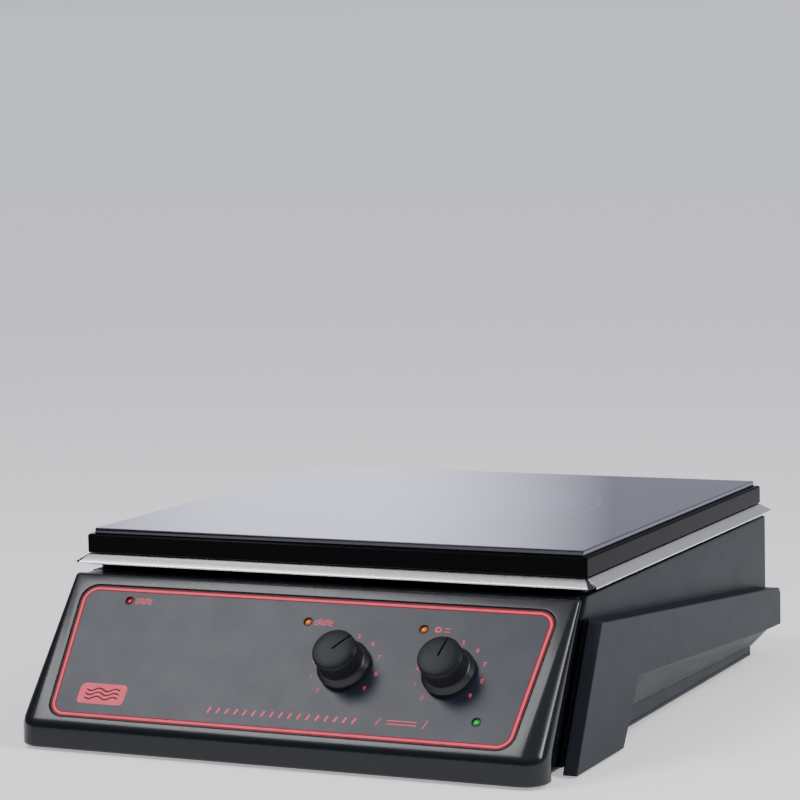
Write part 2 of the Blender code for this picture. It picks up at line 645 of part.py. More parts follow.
# ---------------------------------------------------------------- electronics
def build_boards():
    """Control board behind the dials; power board and its parts in the tray."""
    low = -14.0 - GAP
    box("control_board", (-125.0, -84.0, low - 1.6), (125.0, -12.0, low), "board",
        place=FASCIA_TOP, tilt=SLOPE)
    board = box("power_board", (-142.0, -70.0, 10.4), (-68.0, 120.0, 12.0), "board")
    spots = ((-137.0, -65.0), (-73.0, -65.0), (-137.0, 115.0), (-73.0, 115.0))
    for index, spot in enumerate(spots):
        combine(board, rod("board_post_%d" % index, spot, 3.0, TRAY_FLOOR + GAP, 11.0, segments=12), "UNION")
    top = 12.0 + GAP
    soften(box("power_transformer", (-128.0, 40.0, top), (-84.0, 82.0, top + 34.0), "ferrite"), 1.5, 1)
    soften(box("power_relay", (-128.0, -4.0, top), (-100.0, 10.0, top + 18.0), "knob_black"), 0.8, 1)
    foot, crest = top + 4.0, top + 26.0
    fins = [(-132.0, top), (-92.0, top)]
    for index in range(6):
        x = -92.0 - 7.6 * index
        fins += [(x, crest), (x - 2.0, crest)]
        if index < 5:
            fins += [(x - 2.0, foot), (x - 7.6, foot)]
    prism("triac_heatsink", fins, "Y", -60.0, -24.0, "zinc")


def build_mains():
    """Mains inlet with blades and fuse drawer, and the rocker switch beside it."""
    def spot(x, z):
        return (x + MAINS_X, z + MAINS_Z)
    core = [spot(x, z) for x, z in rounded(27.9, 13.9, 1.0, 1)]
    body = prism("mains_inlet", core, "Y", 176.0, 197.5, "knob_black")
    rim = [spot(x, z) for x, z in rounded(31.0, 17.0, 3.0, 2)]
    flange = prism("mains_flange", rim, "Y", HOUSING_REAR + GAP, HOUSING_REAR + 3.0, None)
    combine(body, flange, "UNION")
    face = HOUSING_REAR + 8.0
    socket = ((-12.0, -3.9), (12.0, -3.9), (12.0, 6.5), (8.0, 11.4), (-8.0, 11.4), (-12.0, 6.5))
    mouth = [spot(x + SOCKET_X, z) for x, z in socket]
    combine(body, prism("socket_hollow", mouth, "Y", 182.0, face, None))
    drawer = [spot(x + SOCKET_X, z - 9.0) for x, z in rounded(11.3, 2.9, 0.5, 1)]
    combine(body, prism("drawer_slot", drawer, "Y", 182.0, face, None))
    pocket = [spot(x + ROCKER_X, z) for x, z in rounded(5.3, 9.6, 0.5, 1)]
    combine(body, prism("rocker_pocket", pocket, "Y", 186.0, face, None))

    blades = {"earth": (0.0, 6.2), "live": (-6.0, 0.6), "neutral": (6.0, 0.6)}
    for tag, (x, z) in blades.items():
        centre = spot(x + SOCKET_X, z)
        box("inlet_pin_" + tag, (centre[0] - 1.0, 182.0 + GAP, centre[1] - 2.0),
            (centre[0] + 1.0, 194.5, centre[1] + 2.0), "brass")

    tray = soften(box("fuse_drawer", (-11.0, 182.0 + GAP, -2.6), (11.0, REAR_FACE - 1.2, 2.6), "knob_black",
                      place=(MAINS_X + SOCKET_X, 0.0, MAINS_Z - 9.0)), 0.4, 1)
    combine(tray, box("fuse_bay", (-8.5, 184.0, -1.2), (4.0, 192.0, 5.0), None,
                      place=(MAINS_X + SOCKET_X, 0.0, MAINS_Z - 9.0)))

    outline = []
    for step in range(9):
        angle = math.radians(-90.0 + 22.5 * step)
        outline.append((-ROCKER_RADIUS * math.cos(angle), ROCKER_RADIUS * math.sin(angle)))
    outline += [(3.9, 8.9), (2.3, 0.0), (3.9, -8.9)]
    press = Matrix.Rotation(ROCKER_PRESS, 2)
    pressed = [tuple(press @ Vector(pair)) for pair in outline]
    prism("switch_rocker", pressed, "X", -4.9, 4.9, "knob_black",
          place=(MAINS_X + ROCKER_X, ROCKER_Y, MAINS_Z))


build_plate()
build_heater()
build_drive()
build_housing()
build_cheek("left", -1.0)
build_cheek("right", 1.0)
build_front()
for dial, (dial_across, dial_down, dial_pointer) in DIALS.items():
    build_dial(dial, dial_across, dial_down, dial_pointer)
build_lamps()
build_base()
build_boards()
build_mains()
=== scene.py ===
import json
import math

import bmesh
import bpy
from mathutils import Matrix, Vector


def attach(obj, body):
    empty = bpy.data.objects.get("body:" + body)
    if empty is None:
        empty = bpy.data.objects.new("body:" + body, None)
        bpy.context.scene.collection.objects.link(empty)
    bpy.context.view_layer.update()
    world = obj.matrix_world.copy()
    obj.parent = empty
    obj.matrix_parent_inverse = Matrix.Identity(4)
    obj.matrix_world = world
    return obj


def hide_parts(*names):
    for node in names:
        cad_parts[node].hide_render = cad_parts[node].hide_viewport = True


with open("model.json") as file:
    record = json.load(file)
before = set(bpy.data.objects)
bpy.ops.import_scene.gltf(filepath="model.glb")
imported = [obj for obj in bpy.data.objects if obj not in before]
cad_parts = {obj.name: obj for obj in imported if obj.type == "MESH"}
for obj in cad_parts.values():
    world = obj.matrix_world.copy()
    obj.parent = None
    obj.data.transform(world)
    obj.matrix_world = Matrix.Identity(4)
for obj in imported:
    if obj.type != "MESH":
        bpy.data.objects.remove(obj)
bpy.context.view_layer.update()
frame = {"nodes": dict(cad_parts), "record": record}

# Looks of the hotplate magnetic stirrer. Lengths are in millimetres, except those of the stage (floor
# and lights), which are in metres.
MM = 0.001
NODES = frame["nodes"]
BODY = "stirrer_body"

# Sloping front: top edge and tilt, as in the CAD. A place on it is (across, down) from that edge's middle.
SLOPE = math.radians(48.48)
FASCIA_TOP = Vector((0.0, -137.3, 88.1))
TO_FASCIA = Matrix.Translation(FASCIA_TOP) @ Matrix.Rotation(SLOPE, 4, "X")
PANEL_FACE = -0.6
PANEL_TOP = 7.4
PANEL_LOW = 91.3
PANEL_HALF_TOP = 143.3
PANEL_HALF_LOW = 138.25
PANEL_ROUND = 9.5
INK = 0.05
INK_ROOT = 0.02

# Dials: across, down and the pointer's angle in degrees; heights count from the sloping front
DIALS = {"heat": (31.4, 48.8, 41.0), "stir": (92.5, 48.8, 12.0)}
NUMBER_RADIUS = 19.4
NUMBER_SIZE = 3.9
NUMBER_START = -143.0
NUMBER_STEP = 30.3
KNOB_RADIUS = 15.0
KNOB_FOOT = 0.9
KNOB_ROUND = 0.8
NUT_ROOM = 8.2
NUT_ROOM_TOP = 4.0
SHAFT_HOLE = 3.4
SHAFT_HOLE_TOP = 14.7
CAP_RADIUS = 12.2
CAP_FOOT = 16.25
CAP_ROUND = 0.6
GROOVE_HALF = 0.5
CREASE = 35.0

# Lamps
LENS_RADIUS = 2.15
RING_EDGE = 2.75
LAMPS = {"hot": (-112.7, 15.7), "heat": (1.2, 22.3), "stir": (70.3, 22.6), "power": (114.9, 76.2)}

# Marks that stand where the photo has words: generic waves, a swirl, a badge, dashes and bars
MARK_LINE = 0.5
MARK_ROWS = (-1.3, 0.0, 1.3)
MARK_SWING = 0.45
BADGE_ACROSS = -108.6
BADGE_DOWN = 76.2
BADGE_WAVE = 20.8
DASH_COUNT = 17
DASH_STEP = 5.4
DASH_TOP = 79.2
MARK_FOOT = 82.6

# Plate and its sheet-metal skirt
PLATE_Y = 29.6
FRAME_HALF = 153.2
FLANGE_TOP = 97.5
FLANGE_TIP_Z = 92.9
FLANGE_TIP = 159.4
SHEET_INNER = 140.0
SHEET = 1.2
HEM_RADIUS = 0.75
CORNER_GAP = 1.6

# Back wall
BACK_Y = 196.6
SCREW_ACROSS = 140.0
SCREW_HEIGHTS = (80.0, 28.0)

ZONE_RADIUS = 86.0
ZONE_TINT = 0.6
RING_RADIUS = 97.0

# Stage: relative strengths of light, the window's place across, and half the floor's width in metres
HORIZON = 0.9
WINDOW_LIGHT = 2.1
WINDOW_TURN = 0.44
FLOOR_HALF = 9.0

# Camera
CAMERA_PLACE = Vector((687.2, -1524.45, 343.44))
CAMERA_YAW = math.radians(-24.59)
CAMERA_DOWN = math.radians(5.67)
CAMERA_ROLL = math.radians(-1.17)
CAMERA_LENS = 128.4


# ---------------------------------------------------------------- node materials
def math_node(tree, operation, one, two=0.0, clamp=False):
    """Maths node; each value is a number or a socket."""
    made = tree.nodes.new("ShaderNodeMath")
    made.operation = operation
    made.use_clamp = clamp
    for socket, value in zip(made.inputs, (one, two)):
        if isinstance(value, (int, float)):
            socket.default_value = value
        else:
            tree.links.new(value, socket)
    return made.outputs[0]


def range_node(tree, value, start, end, low, high, easing="LINEAR"):
    """Map a value from start..end to low..high."""
    made = tree.nodes.new("ShaderNodeMapRange")
    made.interpolation_type = easing
    for name, number in (("From Min", start), ("From Max", end), ("To Min", low), ("To Max", high)):
        made.inputs[name].default_value = number
    tree.links.new(value, made.inputs["Value"])
    return made.outputs["Result"]


class Look:
    """Principled material with helpers that add procedural detail in object space."""

    def __init__(self, name, colour, rough, metallic=0.0, **sockets):
        self.made = bpy.data.materials.new(name)
        self.made.use_nodes = True
        self.tree = self.made.node_tree
        self.shader = self.tree.nodes["Principled BSDF"]
        self.colour = colour
        self.rough = rough
        self.set("Base Color", (*colour, 1.0))
        self.set("Roughness", rough)
        self.set("Metallic", metallic)
        for socket, value in sockets.items():
            self.set(socket.replace("_", " "), value)
        self.place = self.node("ShaderNodeTexCoord").outputs["Object"]
        self.paint = None
        self.gloss = None
        self.relief = None

    def node(self, kind, **values):
        made = self.tree.nodes.new(kind)
        for name, value in values.items():
            setattr(made, name, value)
        return made

    def set(self, socket, value):
        self.shader.inputs[socket].default_value = value

    def link(self, one, two):
        self.tree.links.new(one, two)

    def math(self, operation, one, two=0.0, clamp=False):
        return math_node(self.tree, operation, one, two, clamp)

    def noise(self, scale, detail=3.0, stretch=(1.0, 1.0, 1.0)):
        """Fractal noise; scale is in cycles per metre."""
        shape = self.node("ShaderNodeMapping")
        shape.inputs["Scale"].default_value = stretch
        self.link(self.place, shape.inputs["Vector"])
        made = self.node("ShaderNodeTexNoise")
        made.inputs["Scale"].default_value = scale
        made.inputs["Detail"].default_value = detail
        self.link(shape.outputs[0], made.inputs["Vector"])
        return made.outputs["Fac"]

    def spread(self, value, low, high, start=0.3, end=0.7):
        """Map a pattern, between start and end, to low..high."""
        return range_node(self.tree, value, start, end, low, high)

    def blend_colour(self, factor, colour):
        """Paint a colour over what is there, by a mask."""
        mix = self.node("ShaderNodeMix", data_type="RGBA")
        base, over = [socket for socket in mix.inputs if socket.type == "RGBA"]
        if self.paint is None:
            base.default_value = (*self.colour, 1.0)
        else:
            self.link(self.paint, base)
        over.default_value = (*colour, 1.0)
        self.link(factor, mix.inputs[0])
        self.paint = next(socket for socket in mix.outputs if socket.type == "RGBA")

    def add_gloss(self, value):
        """Add a pattern to the roughness."""
        self.gloss = self.math("ADD", self.rough if self.gloss is None else self.gloss, value)

    def add_relief(self, value, depth_mm, strength=1.0):
        """Bump of a height pattern; depth in millimetres."""
        bump = self.node("ShaderNodeBump")
        bump.inputs["Strength"].default_value = strength
        bump.inputs["Distance"].default_value = depth_mm * MM
        self.link(value, bump.inputs["Height"])
        if self.relief is not None:
            self.link(self.relief, bump.inputs["Normal"])
        self.relief = bump.outputs["Normal"]

    def round_edges(self, radius_mm, wear=0.0, wear_colour=(0.2, 0.2, 0.2)):
        """Soft light-catching edges, and a little wear along them."""
        bevel = self.node("ShaderNodeBevel", samples=8)
        bevel.inputs["Radius"].default_value = radius_mm * MM
        flat = self.node("ShaderNodeNewGeometry").outputs["Normal"]
        if wear > 0.0:
            dot = self.node("ShaderNodeVectorMath", operation="DOT_PRODUCT")
            self.link(bevel.outputs[0], dot.inputs[0])
            self.link(flat, dot.inputs[1])
            edge = self.spread(dot.outputs["Value"], wear, 0.0, 0.80, 0.995)
            broken = self.math("MULTIPLY", edge, self.noise(160.0, 4.0), clamp=True)
            self.blend_colour(broken, wear_colour)
        self.relief = bevel.outputs[0]

    def done(self):
        if self.paint is not None:
            self.link(self.paint, self.shader.inputs["Base Color"])
        if self.gloss is not None:
            self.link(self.gloss, self.shader.inputs["Roughness"])
        if self.relief is not None:
            self.link(self.relief, self.shader.inputs["Normal"])
        return self.made


def moulded(name, colour, rough, light, grain_mm=0.012, edge=0.7, wear=0.35, scale=1500.0, **sockets):
    """Moulded plastic: spark texture, faint cloudiness, handled edges."""
    look = Look(name, colour, rough, **sockets)
    look.round_edges(edge, wear, light)
    look.blend_colour(look.spread(look.noise(900.0, 2.0), 0.0, 0.16), light)
    look.add_gloss(look.spread(look.noise(55.0, 5.0), -0.02, 0.03))
    look.add_relief(look.noise(scale, 2.0), grain_mm)
    return look.done()


def metal(name, colour, rough, dull, stretch, edge=0.3, scratch=0.01, **sockets):
    """Rolled or plated metal with a drawn grain and slightly dull patches."""
    look = Look(name, colour, rough, 1.0, **sockets)
    look.round_edges(edge, 0.0)
    look.blend_colour(look.spread(look.noise(25.0, 4.0), 0.0, 0.5), dull)
    look.add_gloss(look.spread(look.noise(400.0, 3.0, stretch), -0.02, 0.025))
    look.add_relief(look.noise(900.0, 3.0, stretch), scratch, 0.4)
    return look.done()


def plate_glass():
    """Black glass ceramic: violet heating zone, thin printed ring outside it."""
    look = Look("glass_ceramic_black", (0.012, 0.01, 0.022), 0.03, IOR=1.52,
                Coat_Weight=0.5, Coat_Roughness=0.02, Coat_Tint=(0.86, 0.86, 1.0, 1.0))
    look.round_edges(0.6)
    centre = look.node("ShaderNodeVectorMath", operation="SUBTRACT")
    look.link(look.place, centre.inputs[0])
    centre.inputs[1].default_value = (0.0, PLATE_Y * MM, 0.0)
    flat = look.node("ShaderNodeVectorMath", operation="MULTIPLY")
    look.link(centre.outputs[0], flat.inputs[0])
    flat.inputs[1].default_value = (1.0, 1.0, 0.0)
    length = look.node("ShaderNodeVectorMath", operation="LENGTH")
    look.link(flat.outputs[0], length.inputs[0])
    radius = length.outputs["Value"]
    zone = look.spread(radius, ZONE_TINT, 0.0, (ZONE_RADIUS - 1.5) * MM, (ZONE_RADIUS + 1.5) * MM)
    look.blend_colour(zone, (0.13, 0.03, 0.17))
    away = look.math("ABSOLUTE", look.math("SUBTRACT", radius, RING_RADIUS * MM))
    ring = look.spread(away, 0.7, 0.0, 0.4 * MM, 1.1 * MM)
    look.blend_colour(ring, (0.2, 0.15, 0.24))
    look.add_gloss(look.math("MULTIPLY", ring, 0.1))
    look.add_gloss(look.spread(look.noise(30.0, 6.0), -0.01, 0.015))
    look.add_relief(look.noise(12.0, 1.0), 0.01, 0.2)
    return look.done()


def panel_film():
    """Printed polycarbonate overlay with a fine embossed grain."""
    look = Look("panel_overlay_grey", (0.02, 0.0245, 0.038), 0.34, Specular_IOR_Level=0.28)
    look.blend_colour(look.spread(look.noise(1100.0, 2.0), 0.0, 0.2), (0.05, 0.055, 0.07))
    look.add_gloss(look.spread(look.noise(60.0, 4.0), -0.015, 0.02))
    look.add_relief(look.noise(2600.0, 1.0), 0.006)
    return look.done()


def lens(name, colour, glow, strength):
    """Coloured lens, faintly lit, with lighter clouds in it."""
    paler = tuple(min(1.0, part * 1.5 + 0.03) for part in colour)
    look = Look(name, colour, 0.12, Coat_Weight=0.35, Coat_Roughness=0.05,
                Emission_Color=(*glow, 1.0), Emission_Strength=strength)
    look.blend_colour(look.spread(look.noise(500.0, 2.0), 0.0, 0.6), paler)
    look.add_relief(look.noise(900.0, 1.0), 0.03)
    return look.done()


def ink(name, colour, light):
    """Screen-printed ink, slightly uneven."""
    look = Look(name, colour, 0.4, Specular_IOR_Level=0.12)
    look.blend_colour(look.spread(look.noise(220.0, 3.0), 0.0, 0.45), light)
    look.add_gloss(look.spread(look.noise(500.0, 2.0), -0.05, 0.08))
    look.add_relief(look.noise(1800.0, 2.0), 0.01)
    return look.done()


def speckled(name, colour, light, rough, scale, grain_mm, metallic=0.0):
    """Fibre, ferrite, board and other unpolished inner stuff."""
    look = Look(name, colour, rough, metallic)
    look.blend_colour(look.spread(look.noise(scale, 4.0), 0.0, 0.8), light)
    look.add_gloss(look.spread(look.noise(scale * 2.0, 3.0), -0.06, 0.06))
    look.add_relief(look.noise(scale * 3.0, 3.0), grain_mm)
    return look.done()


FINE_GRAIN = (0.6, 0.6, 1.0)
NO_GRAIN = (1.0, 1.0, 1.0)
FINISH = {
    "plate_glass": plate_glass(),
    "black_gloss": moulded("frame_black_gloss", (0.0015, 0.0015, 0.002), 0.12, (0.01, 0.011, 0.013),
                           0.0005, 0.6, 0.25, Specular_IOR_Level=0.03),
    "case_grey": moulded("case_dark_grey", (0.025, 0.0278, 0.0345), 0.36, (0.052, 0.058, 0.071),
                         0.006, 1.0, 0.45, Specular_IOR_Level=0.05),
    "bezel_black": moulded("bezel_satin_black", (0.008, 0.0095, 0.0125), 0.19, (0.022, 0.026, 0.034),
                           0.001, 0.9, 0.2, Specular_IOR_Level=0.33),
    "panel_grey": panel_film(),
    "steel": metal("skirt_brushed_steel", (0.93, 0.93, 0.915), 0.26, (0.84, 0.84, 0.82), FINE_GRAIN,
                   scratch=0.0015),
    "zinc": metal("zinc_plated", (0.56, 0.57, 0.58), 0.42, (0.42, 0.42, 0.4), NO_GRAIN),
    "knob_black": moulded("knob_matt_black", (0.009, 0.01, 0.012), 0.34, (0.03, 0.034, 0.038),
                          0.008, 0.35, 0.2, Specular_IOR_Level=0.4),
    "cap_grey": moulded("knob_cap_grey", (0.008, 0.01, 0.013), 0.38, (0.035, 0.043, 0.052),
                        0.004, 0.3, 0.5, Specular_IOR_Level=0.14),
    "rubber": moulded("foot_rubber", (0.018, 0.018, 0.018), 0.78, (0.04, 0.04, 0.04),
                      0.03, 0.4, 0.1, 700.0),
    "fibre": speckled("ceramic_fibre", (0.7, 0.67, 0.6), (0.85, 0.83, 0.78), 0.92, 300.0, 0.2),
    "coil": speckled("resistance_ribbon", (0.3, 0.1, 0.045), (0.45, 0.2, 0.1), 0.5, 250.0, 0.05, 0.7),
    "ferrite": speckled("ferrite_dark", (0.05, 0.05, 0.055), (0.09, 0.09, 0.095), 0.5, 400.0, 0.03, 0.3),
    "brass": metal("brass_turned", (0.72, 0.5, 0.2), 0.3, (0.55, 0.37, 0.14), NO_GRAIN),
    "board": speckled("board_laminate", (0.02, 0.15, 0.06), (0.04, 0.22, 0.09), 0.42, 200.0, 0.02),
    "lamp_red": lens("lens_red", (0.38, 0.0, 0.012), (1.0, 0.0, 0.04), 0.14),
    "lamp_amber": lens("lens_amber", (0.6, 0.12, 0.004), (1.0, 0.26, 0.01), 0.2),
    "lamp_green": lens("lens_green", (0.0, 0.24, 0.035), (0.0, 1.0, 0.1), 0.2),
}
PINK = ink("print_rose_red", (0.92, 0.1, 0.16), (0.96, 0.17, 0.23))
DEEP = ink("print_deep_red", (0.3, 0.0, 0.012), (0.38, 0.01, 0.03))
# DARK is charcoal print for the badge waves, and also the colour of the painted shadow line round the panel.
DARK = ink("charcoal_print_and_painted_shadow", (0.012, 0.009, 0.01), (0.03, 0.02, 0.024))

for entry in frame["record"]["subparts"]:
    carried = NODES[entry["node"]]
    carried.data.materials.clear()
    carried.data.materials.append(FINISH[entry["material_slot"]])


def smooth_by_angle(limit):
    """Modifier tree: smooth shading, kept sharp over edges steeper than a limit in degrees."""
    tree = bpy.data.node_groups.new("smooth_by_angle", "GeometryNodeTree")
    tree.interface.new_socket("Geometry", in_out="INPUT", socket_type="NodeSocketGeometry")
    tree.interface.new_socket("Geometry", in_out="OUTPUT", socket_type="NodeSocketGeometry")
    source = tree.nodes.new("NodeGroupInput")
    result = tree.nodes.new("NodeGroupOutput")
    weld = tree.nodes.new("GeometryNodeMergeByDistance")
    weld.inputs["Distance"].default_value = 1e-6
    soft = tree.nodes.new("GeometryNodeSetShadeSmooth")
    crisp = tree.nodes.new("GeometryNodeSetShadeSmooth")
    crisp.domain = "EDGE"
    crisp.inputs["Shade Smooth"].default_value = False
    steep = tree.nodes.new("FunctionNodeCompare")
    steep.operation = "GREATER_THAN"
    steep.inputs[1].default_value = math.radians(limit)
    fold = tree.nodes.new("GeometryNodeInputMeshEdgeAngle")
    tree.links.new(source.outputs[0], weld.inputs["Geometry"])
    tree.links.new(weld.outputs[0], soft.inputs["Geometry"])
    tree.links.new(soft.outputs[0], crisp.inputs["Geometry"])
    tree.links.new(fold.outputs["Unsigned Angle"], steep.inputs[0])
    tree.links.new(steep.outputs[0], crisp.inputs["Selection"])
    tree.links.new(crisp.outputs[0], result.inputs[0])
    return tree


SOFT_NODES = ("front_bezel", "housing", "plate_frame", "glass_plate", "neck_ring")
SOFTEN = smooth_by_angle(28.0)
for soft_name in SOFT_NODES:
    softened = NODES[soft_name].modifiers.new("Soft", "NODES")
    softened.node_group = SOFTEN
    weighted = NODES[soft_name].modifiers.new("Weighted", "WEIGHTED_NORMAL")
    weighted.keep_sharp = True
    weighted.weight = 100


# ---------------------------------------------------------------- shapes
def piece(name, points, faces, finish, body, place=None, smooth=True, angle=CREASE):
    """Object made from points in millimetres that rides a CAD body."""
    mesh = bpy.data.meshes.new(name)
    shape = bmesh.new()
    corners = [shape.verts.new(Vector(point)) for point in points]
    for face in faces:
        shape.faces.new([corners[index] for index in face])
    bmesh.ops.remove_doubles(shape, verts=shape.verts, dist=1e-4)
    bmesh.ops.recalc_face_normals(shape, faces=shape.faces)
    if place is not None:
        shape.transform(place)
    shape.transform(Matrix.Scale(MM, 4))
    shape.to_mesh(mesh)
    shape.free()
    made = bpy.data.objects.new(name, mesh)
    bpy.context.scene.collection.objects.link(made)
    mesh.materials.append(finish)
    if smooth:
        mesh.polygons.foreach_set("use_smooth", [True] * len(mesh.polygons))
        mesh.set_sharp_from_angle(angle=math.radians(angle))
    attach(made, body)
    return made


def lathe(name, profile, finish, body, place, segments=96):
    """Closed solid turned about the local Z axis from (radius, height) pairs."""
    points = []
    rings = []
    for radius, height in profile:
        if radius == 0.0:
            rings.append([len(points)])
            points.append((0.0, 0.0, height))
            continue
        rings.append([len(points) + step for step in range(segments)])
        for step in range(segments):
            turn = math.tau * step / segments
            points.append((radius * math.cos(turn), radius * math.sin(turn), height))
    pairs = list(zip(rings, rings[1:]))
    if len(rings[0]) > 1 and len(rings[-1]) > 1:
        pairs.append((rings[-1], rings[0]))
    faces = []
    for one, two in pairs:
        for step in range(segments):
            after = (step + 1) % segments
            quad = [one[step % len(one)], one[after % len(one)],
                    two[after % len(two)], two[step % len(two)]]
            unique = list(dict.fromkeys(quad))
            if len(unique) > 2:
                faces.append(unique)
    return piece(name, points, faces, finish, body, place)


def arc(centre, radius, start, end, steps):
    """Profile points along an arc, angles in degrees."""
    found = []
    for step in range(steps + 1):
        angle = math.radians(start + (end - start) * step / steps)
        found.append((centre[0] + radius * math.cos(angle), centre[1] + radius * math.sin(angle)))
    return found


def ribbon_parts(route, width, closed=False):
    """Left and right edges of a flat line of even width along a route of (x, y) points."""
    count = len(route)
    left = []
    right = []
    for index in range(count):
        here = Vector(route[index])
        before = Vector(route[index - 1 if closed or index else 0])
        after = Vector(route[(index + 1) % count if closed or index < count - 1 else index])
        one = (here - before).normalized() if (here - before).length > 1e-6 else (after - here).normalized()
        two = (after - here).normalized() if (after - here).length > 1e-6 else one
        side = Vector((-(one + two).y, (one + two).x)).normalized()
        reach = width / 2 / max(0.4, side.dot(Vector((-one.y, one.x))))
        left.append(here + side * reach)
        right.append(here - side * reach)
    return left, right


def printed(name, routes, width, finish, closed=False, level=PANEL_FACE, thick=INK):
    """Thin raised print on the sloping front, from lines of (across, down) points; also draws the painted
    shadow line round the panel.
    """
    points = []
    faces = []
    for route in routes:
        left, right = ribbon_parts([(x, -s) for x, s in route], width, closed)
        count = len(route)
        first = len(points)
        for height in (level - INK_ROOT, level + thick):
            points += [(*spot, height) for spot in left]
            points += [(*spot, height) for spot in right]
        low_left, low_right = first, first + count
        top_left, top_right = first + 2 * count, first + 3 * count
        spans = count if closed else count - 1
        for step in range(spans):
            after = (step + 1) % count
            faces.append((top_left + step, top_left + after, top_right + after, top_right + step))
            faces.append((low_left + step, low_right + step, low_right + after, low_left + after))
            faces.append((low_left + step, low_left + after, top_left + after, top_left + step))
            faces.append((low_right + step, top_right + step, top_right + after, low_right + after))
        if not closed:
            for step in (0, count - 1):
                faces.append((low_left + step, top_left + step, top_right + step, low_right + step))
    return piece(name, points, faces, finish, BODY, TO_FASCIA, smooth=False)


def border(inset):
    """Closed round-cornered line inside the panel edge, a little narrower at its foot."""
    top, low = PANEL_TOP + inset, PANEL_LOW - inset
    radius = PANEL_ROUND - inset
    wide, narrow = PANEL_HALF_TOP - inset, PANEL_HALF_LOW - inset
    route = []
    for x, s, start in ((wide, top, 0.0), (-wide, top, 90.0), (-narrow, low, 180.0), (narrow, low, 270.0)):
        across = x - math.copysign(radius, x)
        down = s + radius if start < 100.0 else s - radius
        for step in range(13):
            angle = math.radians(start + 7.5 * step)
            route.append((across + radius * math.cos(angle), down - radius * math.sin(angle)))
    return route


def rounded_plate(half_x, half_y, radius, steps=8):
    """Outline of a rectangle with round corners."""
    outline = []
    for quarter, (sign_x, sign_y) in enumerate(((1, 1), (-1, 1), (-1, -1), (1, -1))):
        for step in range(steps + 1):
            angle = math.radians(90.0) * (quarter + step / steps)
            outline.append((sign_x * (half_x - radius) + radius * math.cos(angle),
                            sign_y * (half_y - radius) + radius * math.sin(angle)))
    return outline


def slab(name, outline, low, high, finish, body, place):
    """Flat plate pushed up from an outline."""
    count = len(outline)
    points = [(x, y, low) for x, y in outline] + [(x, y, high) for x, y in outline]
    faces = [tuple(range(count)), tuple(range(count, 2 * count))]
    faces += [(step, (step + 1) % count, count + (step + 1) % count, count + step) for step in range(count)]
    return piece(name, points, faces, finish, body, place, smooth=False)


# ---------------------------------------------------------------- dials
def pointer_cap(tag, place, pointer):
    """Domed cap with a pointer groove let into it."""
    low = CAP_FOOT
    rim = CAP_RADIUS - CAP_ROUND
    profile = [(0.0, low), (rim, low)] + arc((rim, low + CAP_ROUND), CAP_ROUND, -90.0, 25.0, 6)
    profile += arc((rim - 0.45, low + 0.9), 0.95, 25.0, 80.0, 5)
    profile += [(8.2, low + 2.2), (4.6, low + 2.42), (0.0, low + 2.5)]
    cap = lathe(tag + "_dial_cap", profile, FINISH["cap_grey"], tag + "_dial", place)
    turn = Matrix.Rotation(-math.radians(pointer), 4, "Z")
    start, beyond, above = -0.6, 20.0, low + 5.0
    corners = []
    for x in (-GROOVE_HALF, GROOVE_HALF):
        corners += [(x, start, low + 1.5), (x, beyond, low + 0.8), (x, beyond, above), (x, start, above)]
    sides = ((0, 1, 2, 3), (4, 5, 6, 7), (0, 1, 5, 4), (1, 2, 6, 5), (2, 3, 7, 6), (3, 0, 4, 7))
    cutter = piece(tag + "_groove_tool", corners, sides, DARK, tag + "_dial", place @ turn,
                   smooth=False)
    cut = cap.modifiers.new("Groove", "BOOLEAN")
    cut.solver = "EXACT"
    cut.object = cutter
    bpy.context.view_layer.update()
    carved = bpy.data.meshes.new_from_object(cap.evaluated_get(bpy.context.evaluated_depsgraph_get()))
    cap.modifiers.clear()
    cap.data = carved
    carved.set_sharp_from_angle(angle=math.radians(CREASE))
    bpy.data.objects.remove(cutter, do_unlink=True)
    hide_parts(tag + "_knob_cap")


def knob_profile():
    """Half section: hollow for the nut, foot, skirt, waist, flat top under the cap, shaft hole."""
    top = CAP_FOOT - 0.06
    foot = KNOB_RADIUS - KNOB_ROUND
    profile = [(SHAFT_HOLE, NUT_ROOM_TOP), (NUT_ROOM, NUT_ROOM_TOP), (NUT_ROOM, KNOB_FOOT), (foot, KNOB_FOOT)]
    profile += arc((foot, KNOB_FOOT + KNOB_ROUND), KNOB_ROUND, -80.0, 0.0, 5)
    profile += [(KNOB_RADIUS - 0.05, 2.7), (KNOB_RADIUS - 0.4, 3.2), (KNOB_RADIUS - 1.7, 5.3)]
    profile += arc((KNOB_RADIUS - 1.6, 6.5), 0.9, 250.0, 182.0, 5)
    profile.append((CAP_RADIUS + 0.05, top - 0.9))
    profile += arc((CAP_RADIUS - CAP_ROUND, top - CAP_ROUND), CAP_ROUND, 0.0, 90.0, 5)
    return profile + [(0.0, top), (0.0, SHAFT_HOLE_TOP), (SHAFT_HOLE, SHAFT_HOLE_TOP)]


